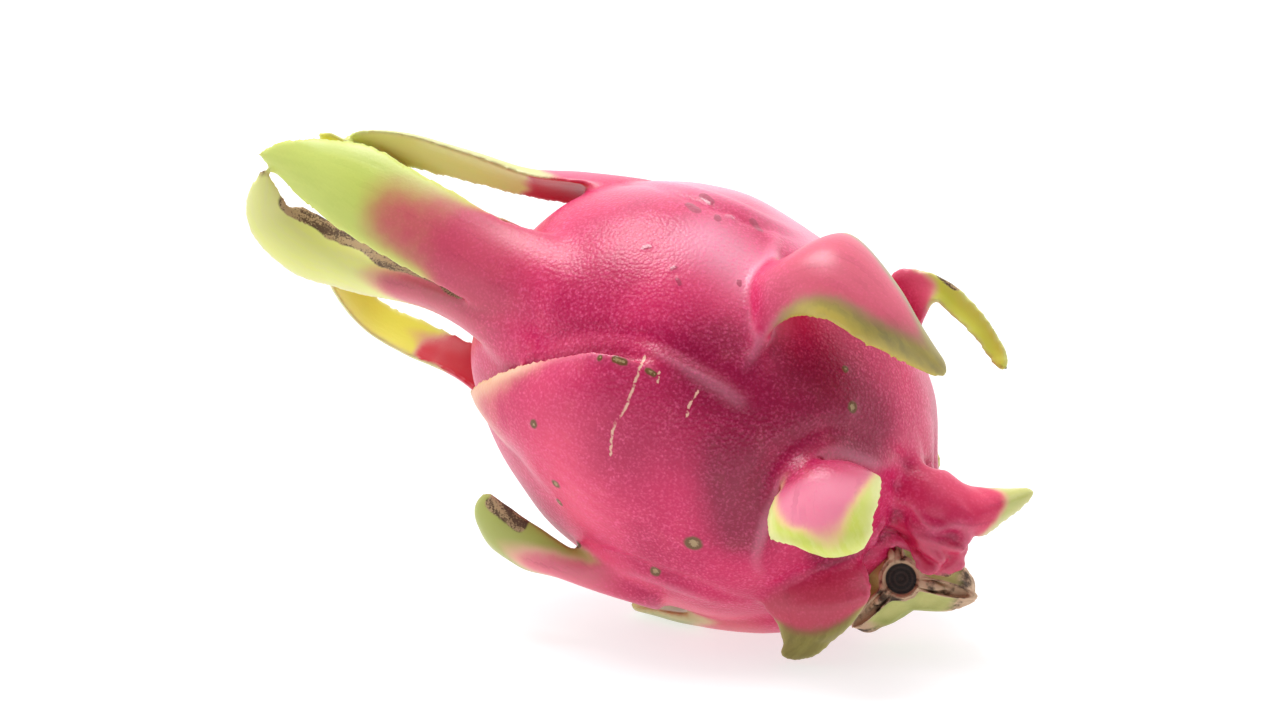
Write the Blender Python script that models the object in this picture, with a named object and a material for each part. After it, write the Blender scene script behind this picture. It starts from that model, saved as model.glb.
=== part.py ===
# Dragon fruit, as picked: the fruit with its scales, and the piece of stem that it was cut with.
# Metres, +Z up. The origin is on the floor, at the middle of the flat spot that the fruit rests on.

import math

import bmesh
import bpy
from mathutils import Matrix, Vector

MM = 0.001

# Driving dimensions
BODY_LENGTH = 113 * MM         # stem end to crown end, along the fruit's own axis
BODY_RADIUS = 45 * MM          # half of the widest diameter
LEAN = math.radians(29.5)      # how far the crown end is raised
BALANCE_SHARE = 0.47           # share of the length, from the stem end, that stands over the origin
FLAT_DEPTH = 1.0 * MM          # how much of the resting scale is pressed flat
SCALE_FACTOR = 1.0             # size of the scales' blades against the values below
JOINT_GAP = 0.3 * MM           # between the fruit and the piece of stem

# The body's outline: share of the length from the stem end, share of the radius.
BODY_OUTLINE = [
    (0.00, 0.00), (0.013, 0.20), (0.06, 0.40), (0.12, 0.63), (0.20, 0.79), (0.28, 0.91), (0.40, 0.99),
    (0.51, 1.00), (0.63, 0.98), (0.73, 0.90), (0.81, 0.80), (0.89, 0.65), (0.95, 0.49), (0.985, 0.27),
    (1.00, 0.00),
]
BODY_RISE = 2.2 * MM           # how far the crown half sits above the axis, towards the fruit's top side
BODY_RISE_SHARES = (0.35, 0.80)    # where along the length the rise begins and is whole
BODY_RINGS = 26
BODY_SIDES = 36

# Each scale is a blade. A place on it is a percentage of the body's length from the stem end,
# degrees around the axis from its top side towards -Y, and a distance from the axis as a percentage
# of the body's radius. Thicknesses, widths, cups and bulges are millimetres, spread evenly from the
# blade's root to its tip. A blade with a route follows it down its middle: a cup draws its edges
# towards its inner face, and a roll turns it about the route, in degrees. A blade with margins lies
# between pairs of places on its two edges, and a bulge raises its middle towards its outer face.
SCALES = {
    "crown_front": dict(
        route=[(74, 66, 82), (88, 66, 69), (100, 67, 60), (116, 66, 51), (132, 69, 39), (144, 82, 27),
               (155, 120, 19)],
        width=[34, 25, 18, 16, 15, 12, 3], thick=[7, 6, 5, 3.5, 3, 2.5, 1.5], cup=[3, 3, 2, 2, 2, 2, 0]),
    "crown_hook": dict(
        route=[(73, 92, 82), (86, 92, 69), (97, 98, 56), (108, 112, 44), (120, 135, 40), (129.5, 152, 40),
               (138, 160, 43), (147, 155, 39), (152, 120, 24)],
        width=[26, 18, 11, 9, 10, 12, 14, 12, 3], thick=[7, 6, 5, 4, 3, 3, 3, 2.5, 1.5],
        cup=[2, 2, 2, 3, 3, 3, 3, 2, 0], roll=[0, 0, 0, 10, 40, 60, 60, 60, 60]),
    "crown_top": dict(
        route=[(72, 340, 84), (84, 336, 76), (96, 332, 64), (107, 322, 53), (120, 316, 46), (133, 310, 37),
               (144, 300, 25)],
        width=[20, 23, 20, 13, 13, 12, 3], thick=[7, 5, 4, 3.5, 3, 2.5, 1.5], cup=[3, 3, 3, 2, 2, 2, 0]),
    "crown_back": dict(
        route=[(81, 268, 75), (95, 267, 58), (109, 266, 47), (121, 268, 38), (135, 275, 29), (142, 286, 22),
               (149, 293, 18)],
        width=[24, 18, 14, 12, 11, 8, 3], thick=[7, 5, 4, 3.5, 3, 2.5, 1.5], cup=[3, 3, 2, 2, 2, 2, 0]),
    "crown_under": dict(
        route=[(74, 203, 87), (87, 205, 73), (98, 206, 71), (111, 207, 78), (122, 203, 75), (132, 198, 58),
               (139, 189, 31)],
        width=[28, 20, 13, 13, 12, 10, 3], thick=[7, 5, 4, 3.5, 3, 2.5, 1.5], cup=[3, 3, 2, 2, 2, 2, 0]),
    "crown_low": dict(
        route=[(73, 238, 89), (87, 240, 73), (102, 242, 67), (116, 242, 58), (126, 238, 40)],
        width=[28, 20, 15, 12, 4], thick=[7, 5, 4, 3, 1.5], cup=[3, 3, 2, 2, 0]),
    "cheek": dict(
        margins=[((30, 70, 90), (44, 135, 89)), ((42, 67, 101), (51, 139, 95)),
                 ((55, 69, 107), (57, 142, 97)), ((66, 73, 104), (66, 140, 90)),
                 ((76, 83, 94), (74, 137, 82)), ((85, 101, 80), (82, 136, 75)),
                 ((91, 128, 69), (90, 135, 67))],
        bulge=[6, 8.5, 9, 8, 6.5, 3.5, 0], thick=[3, 4, 4, 3.5, 3, 2.5, 1.5]),
    "back_upper": dict(
        route=[(39, 302, 89), (51, 302, 100), (65, 301, 104), (80, 298, 104), (90, 294, 96)],
        width=[34, 34, 26, 18, 5], thick=[6, 6, 5, 4, 2], cup=[4, 4, 4, 3, 0]),
    "back_middle": dict(
        route=[(27, 262, 84), (41, 262, 99), (55, 261, 109), (67, 260, 116), (78, 258, 111)],
        width=[34, 32, 25, 17, 5], thick=[6, 6, 5, 4, 2], cup=[4, 4, 4, 3, 0]),
    "keel": dict(
        margins=[((39, 138, 90), (36, 159, 97)), ((48, 142, 97), (47, 158, 105)),
                 ((56, 145, 101), (56, 154, 114)), ((65, 145, 102), (64, 158, 120)),
                 ((72, 145, 101), (72, 158, 119)), ((79, 148, 100), (78, 156, 110))],
        bulge=[2, 2, 2, 2, 2, 1], thick=[7, 6, 5, 5, 4.5, 3]),
    "resting": dict(
        route=[(11, 172, 67), (19, 176, 84), (31, 180, 102), (43, 182, 116)],
        width=[26, 22, 17, 7], thick=[6, 5, 4, 2], cup=[3, 3, 2, 0]),
    "prop_front": dict(
        margins=[((24, 132, 60), (9, 104, 40)), ((20, 133, 80), (3, 106, 62)), ((15, 134, 84), (2, 114, 67)),
                 ((12, 138, 89), (3, 128, 75)), ((11, 141, 95), (6, 139, 91))],
        bulge=[2, 2, 2, 1.5, 0], thick=[6, 5, 4.5, 3.5, 2]),
    "prop_back": dict(
        route=[(9, 205, 62), (18, 206, 84), (28, 207, 102), (39, 208, 113)],
        width=[28, 26, 20, 7], thick=[6, 5, 4, 2], cup=[3, 3, 2, 0]),
    "hood": dict(
        margins=[((27, 75, 90), (16, 63, 86)), ((27, 88, 98), (12, 65, 95)), ((24, 94, 106), (10, 71, 105)),
                 ((20, 92, 111), (8, 79, 108)), ((12, 90, 107), (8, 85, 104))],
        bulge=[2, 3, 3, 2, 0], thick=[6, 5, 3.5, 2.5, 1.5]),
    "flap": dict(
        margins=[((45, 54, 94), (54, 21, 94)), ((43, 46, 115), (48, 26, 112)), ((37, 45, 131), (42, 18, 128)),
                 ((28, 45, 133), (29, 25, 127)), ((20, 42, 125), (19, 31, 122)),
                 ((12, 38, 118), (12, 34, 119))],
        bulge=[1, 4, 5, 4, 2, 0], thick=[7, 5, 4, 3.5, 3, 2]),
    "hook": dict(
        margins=[((33, 343, 90), (21, 347, 80)), ((32, 348, 107), (22, 352, 94)),
                 ((26, 351, 115), (22, 353, 104)), ((20, 351, 116), (18, 352, 102)),
                 ((12, 353, 111), (12, 354, 99)), ((6, 355, 104), (7, 355, 94)),
                 ((3, 357, 97), (3, 357, 92))],
        bulge=[1, 1.5, 2, 2, 2, 1.5, 0], thick=[6, 5, 4, 3.5, 3, 2.5, 2]),
    "back_hook": dict(
        route=[(19, 285, 76), (19, 280, 96), (12, 276, 107), (4, 272, 98)],
        width=[26, 22, 15, 4], thick=[6, 5, 4, 2], cup=[-2, -3, -3, 0]),
    "back_spur": dict(
        route=[(11, 232, 58), (5, 232, 73), (3, 232, 87), (3, 232, 100)],
        width=[24, 20, 13, 4], thick=[6, 5, 4, 2], cup=[2, 2, 2, 0]),
    "spur": dict(
        margins=[((-1, 74, 44), (7, 35, 52)), ((-7, 65, 44), (-2, 28, 47)), ((-11, 46, 43), (-6, 22, 47)),
                 ((-13, 29, 45), (-10, 15, 50)), ((-15, 14, 54), (-14, 10, 56))],
        bulge=[2, 2, 2, 1.5, 0], thick=[7, 6, 5, 3.5, 2]),
    "fold": dict(
        route=[(7, 55, 27), (1, 60, 33), (-4, 72, 36), (-8, 86, 31)],
        width=[17, 17, 13, 7], thick=[8, 8, 7, 4], cup=[0, 0, 0, 0]),
}
RESTING_SCALE = "resting"
SCALE_SECTIONS = 10
SCALE_SIDES = 10

# The piece of stem: a slice of a three-winged branch, its cut face turned to -Y.
STEM_PLACE = (-1.2, 116, 34.7)  # middle of the cut face, given as a place on a scale is
STEM_DIRECTION = Vector((0.18, -0.98, -0.013)).normalized()    # which way it faces, in the fruit's frame
STEM_CORE = 5.0 * MM           # radius of the woody core with its rim
STEM_WINGS = [(227, 16), (349, 17), (100, 12)]     # degrees in the cut face, reach in millimetres
STEM_DEPTH = 13 * MM
STEM_WING_SPREAD = 24          # half-width of a wing at the cut face, degrees
# share of the depth from the cut face, and there the size of the wings, of their spread and of the core
STEM_SECTIONS = [(0, 0.96, 1.0, 1.0), (0.06, 1.0, 1.05, 1.05), (0.35, 1.0, 1.35, 1.5), (0.7, 0.95, 1.6, 1.6),
                 (0.94, 0.82, 1.7, 1.45), (1, 0.72, 1.7, 1.3)]
STEM_SIDES = 42


def clear_scene():
    for old in list(bpy.data.objects):
        bpy.data.objects.remove(old, do_unlink=True)


def smooth_through(points, count):
    """Even samples of a Catmull-Rom curve through points, given as equal-length vectors."""
    ends = [points[0] * 2 - points[1], *points, points[-1] * 2 - points[-2]]
    samples = []
    for k in range(count):
        place = k * (len(points) - 1) / (count - 1)
        i = min(int(place), len(points) - 2)
        t = place - i
        a, b, c, d = ends[i:i + 4]
        samples.append((b * 2 + (c - a) * t + (a * 2 - b * 5 + c * 4 - d) * t ** 2
                        + (b * 3 - a - c * 3 + d) * t ** 3) / 2)
    return samples


def smooth_values(values, count):
    return [v.x for v in smooth_through([Vector((value, 0)) for value in values], count)]


def place_round(along, around, out):
    """Point in the fruit's frame: +Z from stem end to crown end, +X the top side."""
    return Vector((out * math.cos(around), -out * math.sin(around), along))


def loft(name, rings):
    """Closed mesh over rings of equal length, with a flat cap on each end."""
    bm = bmesh.new()
    loops = [[bm.verts.new(point) for point in ring] for ring in rings]
    sides = len(rings[0])
    for lower, upper in zip(loops, loops[1:]):
        for j in range(sides):
            k = (j + 1) % sides
            bm.faces.new((lower[j], lower[k], upper[k], upper[j]))
    bm.faces.new(list(reversed(loops[0])))
    bm.faces.new(loops[-1])
    bmesh.ops.recalc_face_normals(bm, faces=bm.faces)
    if bm.calc_volume(signed=True) < 0:
        bmesh.ops.reverse_faces(bm, faces=bm.faces)
    mesh = bpy.data.meshes.new(name)
    bm.to_mesh(mesh)
    bm.free()
    mesh.shade_smooth()
    obj = bpy.data.objects.new(name, mesh)
    bpy.context.collection.objects.link(obj)
    return obj


def body_rise(along):
    """How far the body's middle is from the axis, towards its top side."""
    begin, whole = BODY_RISE_SHARES
    share = min(max((along / BODY_LENGTH - begin) / (whole - begin), 0), 1)
    return BODY_RISE * share ** 2 * (3 - 2 * share)


def body_rings():
    outline = smooth_through([Vector(point) for point in BODY_OUTLINE], 4 * BODY_RINGS + 1)
    rings = []
    for share, width in outline[2:-2:4]:
        radius = max(width, 0.02) * BODY_RADIUS
        rise = Vector((body_rise(share * BODY_LENGTH), 0, 0))
        turns = [math.tau * j / BODY_SIDES for j in range(BODY_SIDES)]
        rings.append([place_round(share * BODY_LENGTH, turn, radius) + rise for turn in turns])
    return rings


def unwrapped(degrees):
    """Angles in radians, each within half a turn of the one before."""
    angles = [math.radians(value) for value in degrees]
    for i in range(1, len(angles)):
        while angles[i] - angles[i - 1] > math.pi:
            angles[i] -= math.tau
        while angles[i] - angles[i - 1] < -math.pi:
            angles[i] += math.tau
    return angles


def placed(places):
    angles = unwrapped([around for _, around, _ in places])
    return [place_round(along * BODY_LENGTH / 100, turn, out * BODY_RADIUS / 100)
            for (along, _, out), turn in zip(places, angles)]


def headings(points):
    last = len(points) - 1
    return [(points[min(k + 1, last)] - points[max(k - 1, 0)]).normalized() for k in range(last + 1)]


def ring_between(middle, half, face, depth, bulge):
    """One section of a blade: half reaches its edge, and bulge raises its middle along face."""
    ring = []
    for j in range(SCALE_SIDES):
        turn = math.tau * j / SCALE_SIDES
        across, rise = math.cos(turn), math.sin(turn)
        ring.append(middle + half * across + face * (depth * rise + bulge * (1 - across ** 2)))
    return ring


def route_rings(count, depths, route, width, cup, roll=None):
    middle = smooth_through(placed(route), count)
    turns = smooth_values(unwrapped([around for _, around, _ in route]), count)
    widths = smooth_values(width, count)
    cups = smooth_values(cup, count)
    rolls = smooth_values(roll or [0] * len(route), count)
    rings = []
    for k, ahead in enumerate(headings(middle)):
        round_way = Vector((-math.sin(turns[k]), -math.cos(turns[k]), 0))
        side = (round_way - ahead * round_way.dot(ahead)).normalized()
        side = Matrix.Rotation(math.radians(rolls[k]), 3, ahead) @ side
        face = ahead.cross(side)
        half = side * max(widths[k], 1.0) / 2 * MM * SCALE_FACTOR
        bulge = cups[k] * MM * SCALE_FACTOR
        rings.append(ring_between(middle[k] - face * bulge, half, face, depths[k], bulge))
    return rings


def margin_rings(count, depths, margins, bulge):
    one, other = (smooth_through(placed(edge), count) for edge in zip(*margins))
    middle = [(a + b) / 2 for a, b in zip(one, other)]
    bulges = smooth_values(bulge, count)
    rings = []
    for k, ahead in enumerate(headings(middle)):
        half = (other[k] - one[k]) / 2 * SCALE_FACTOR
        face = ahead.cross(half).normalized()
        rings.append(ring_between(middle[k], half, face, depths[k], bulges[k] * MM * SCALE_FACTOR))
    return rings


def scale_rings(thick, **shape):
    by_margins = "margins" in shape
    stations = len(shape["margins"] if by_margins else shape["route"])
    count = SCALE_SECTIONS if stations < 6 else SCALE_SECTIONS + 6
    depths = [max(value, 1.0) / 2 * MM for value in smooth_values(thick, count)]
    return (margin_rings if by_margins else route_rings)(count, depths, **shape)


def stem_rings(grow=0.0):
    """Sections of the piece of stem from its cut face back, each grow larger all round."""
    cut_middle = placed([STEM_PLACE])[0]
    world_up = Vector((math.cos(LEAN), 0, math.sin(LEAN)))     # in the fruit's frame
    right = world_up.cross(STEM_DIRECTION).normalized()
    upward = STEM_DIRECTION.cross(right)
    rings = []
    for share, size, spread, fullness in STEM_SECTIONS:
        centre = cut_middle + STEM_DIRECTION * (grow - (STEM_DEPTH + 2 * grow) * share)
        core = STEM_CORE * fullness
        ring = []
        for j in range(STEM_SIDES):
            turn = math.tau * j / STEM_SIDES
            reach = core
            for angle, length in STEM_WINGS:
                off = math.degrees(abs((turn - math.radians(angle) + math.pi) % math.tau - math.pi))
                wing = math.exp(-(off / (STEM_WING_SPREAD * spread)) ** 2)
                reach = max(reach, core + (length * MM * size - core) * wing)
            reach += grow
            ring.append(centre + right * reach * math.cos(turn) + upward * reach * math.sin(turn))
        rings.append(ring)
    return rings


def finish(obj, colour, roughness):
    material = bpy.data.materials.new(obj.name)
    material.use_nodes = True
    surface = material.node_tree.nodes["Principled BSDF"]
    surface.inputs["Base Color"].default_value = (*colour, 1)
    surface.inputs["Roughness"].default_value = roughness
    obj.data.materials.append(material)


def as_tool(obj):
    obj.hide_render = True
    obj.display_type = "WIRE"
    return obj


def combine(obj, tool, operation):
    step = obj.modifiers.new(f"{operation.lower()} {tool.name}", "BOOLEAN")
    step.operation = operation
    step.solver = "EXACT"
    step.object = tool


def floor_block():
    size = 4 * (BODY_LENGTH + BODY_RADIUS)
    corners = [(-1, -1), (1, -1), (1, 1), (-1, 1)]
    return loft("floor_block", [[Vector((x * size, y * size, z)) for x, y in corners] for z in (-size, 0)])


def build():
    clear_scene()
    frame = bpy.data.objects.new("fruit_frame", None)
    bpy.context.collection.objects.link(frame)
    frame.rotation_euler = (0, LEAN - math.pi / 2, 0)

    rings = {name: scale_rings(**scale) for name, scale in SCALES.items()}
    turned = frame.rotation_euler.to_matrix()
    lowest = min((turned @ point).z for ring in rings[RESTING_SCALE] for point in ring)
    balance = BALANCE_SHARE * BODY_LENGTH
    frame.location = (balance * math.cos(LEAN), 0, -FLAT_DEPTH - lowest)

    fruit = loft("fruit", body_rings())
    fruit.parent = frame
    finish(fruit, (0.66, 0.07, 0.22), 0.42)
    for name, scale in rings.items():
        blade = as_tool(loft(f"scale_{name}", scale))
        blade.parent = frame
        combine(fruit, blade, "UNION")
    combine(fruit, as_tool(floor_block()), "DIFFERENCE")

    stem = loft("stem_stub", stem_rings())
    stem.parent = frame
    finish(stem, (0.24, 0.27, 0.10), 0.7)
    socket = as_tool(loft("stem_socket", stem_rings(JOINT_GAP)))
    socket.parent = frame
    combine(fruit, socket, "DIFFERENCE")


build()
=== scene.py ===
# Dragon fruit, as picked, lying on its side. In metres, +Z up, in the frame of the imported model.
import math

import bpy
import numpy as np
from mathutils import Matrix, Vector
from mathutils.kdtree import KDTree


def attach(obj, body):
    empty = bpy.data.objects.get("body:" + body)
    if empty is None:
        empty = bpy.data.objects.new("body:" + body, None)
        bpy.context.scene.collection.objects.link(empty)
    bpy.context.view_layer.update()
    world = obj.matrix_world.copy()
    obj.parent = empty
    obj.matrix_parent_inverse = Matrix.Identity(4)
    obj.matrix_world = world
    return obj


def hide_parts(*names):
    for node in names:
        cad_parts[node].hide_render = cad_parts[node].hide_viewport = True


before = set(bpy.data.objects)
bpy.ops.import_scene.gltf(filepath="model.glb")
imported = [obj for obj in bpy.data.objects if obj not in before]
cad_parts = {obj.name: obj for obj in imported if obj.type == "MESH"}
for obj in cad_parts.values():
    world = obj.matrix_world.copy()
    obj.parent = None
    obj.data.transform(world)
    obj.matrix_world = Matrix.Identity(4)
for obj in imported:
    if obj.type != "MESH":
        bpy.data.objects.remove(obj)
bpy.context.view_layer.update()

mm = 0.001


def smoothThrough(points, count):
    points = np.array(points, float).reshape(len(points), -1)
    ends = np.vstack([2 * points[0] - points[1], points, 2 * points[-1] - points[-2]])
    place = np.linspace(0, len(points) - 1, count)
    i = np.minimum(place.astype(int), len(points) - 2)
    t = (place - i)[:, None]
    a, b, c, d = ends[i], ends[i + 1], ends[i + 2], ends[i + 3]
    bend = (2 * a - 5 * b + 4 * c - d) * t ** 2
    return (2 * b + (c - a) * t + bend + (3 * b - a - 3 * c + d) * t ** 3) / 2


def ease(low, high, x):
    t = np.clip((x - low) / (high - low), 0, 1)
    return t * t * (3 - 2 * t)


def unit(v):
    return v / np.maximum(np.linalg.norm(v, axis=-1, keepdims=True), 1e-12)


def ripple(points, size, seed):  # smooth made-up noise, about -1 to 1, with bumps about one size wide
    turns = np.random.default_rng(seed)
    total = np.zeros(len(points))
    for _ in range(7):
        way = unit(turns.normal(size=3)) * turns.uniform(0.7, 1.4) * math.pi / size
        total += np.sin(points @ way + turns.uniform(0, math.tau))
    return total / 3.2


fruit = dict(
    length=113 * mm, radius=45 * mm,
    lean=math.radians(29.5),      # how far the crown end is raised
    balance=0.47,                 # share of the length, from the stem end, that stands over the origin
    rise=2.2 * mm,                # how far the crown half sits above the axis
    flat=1.0 * mm,                # depth of the pressed flat spot
    grain=0.7 * mm,               # size of the skin's mesh
)

# share of the length from the stem end, share of the radius
bodyOutline = [
    (0.00, 0.00), (0.013, 0.20), (0.06, 0.40), (0.12, 0.63), (0.20, 0.79), (0.28, 0.91), (0.40, 0.99),
    (0.51, 1.00), (0.63, 0.98), (0.73, 0.90), (0.81, 0.80), (0.89, 0.65), (0.95, 0.49), (0.985, 0.27),
    (1.00, 0.00),
]

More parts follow.
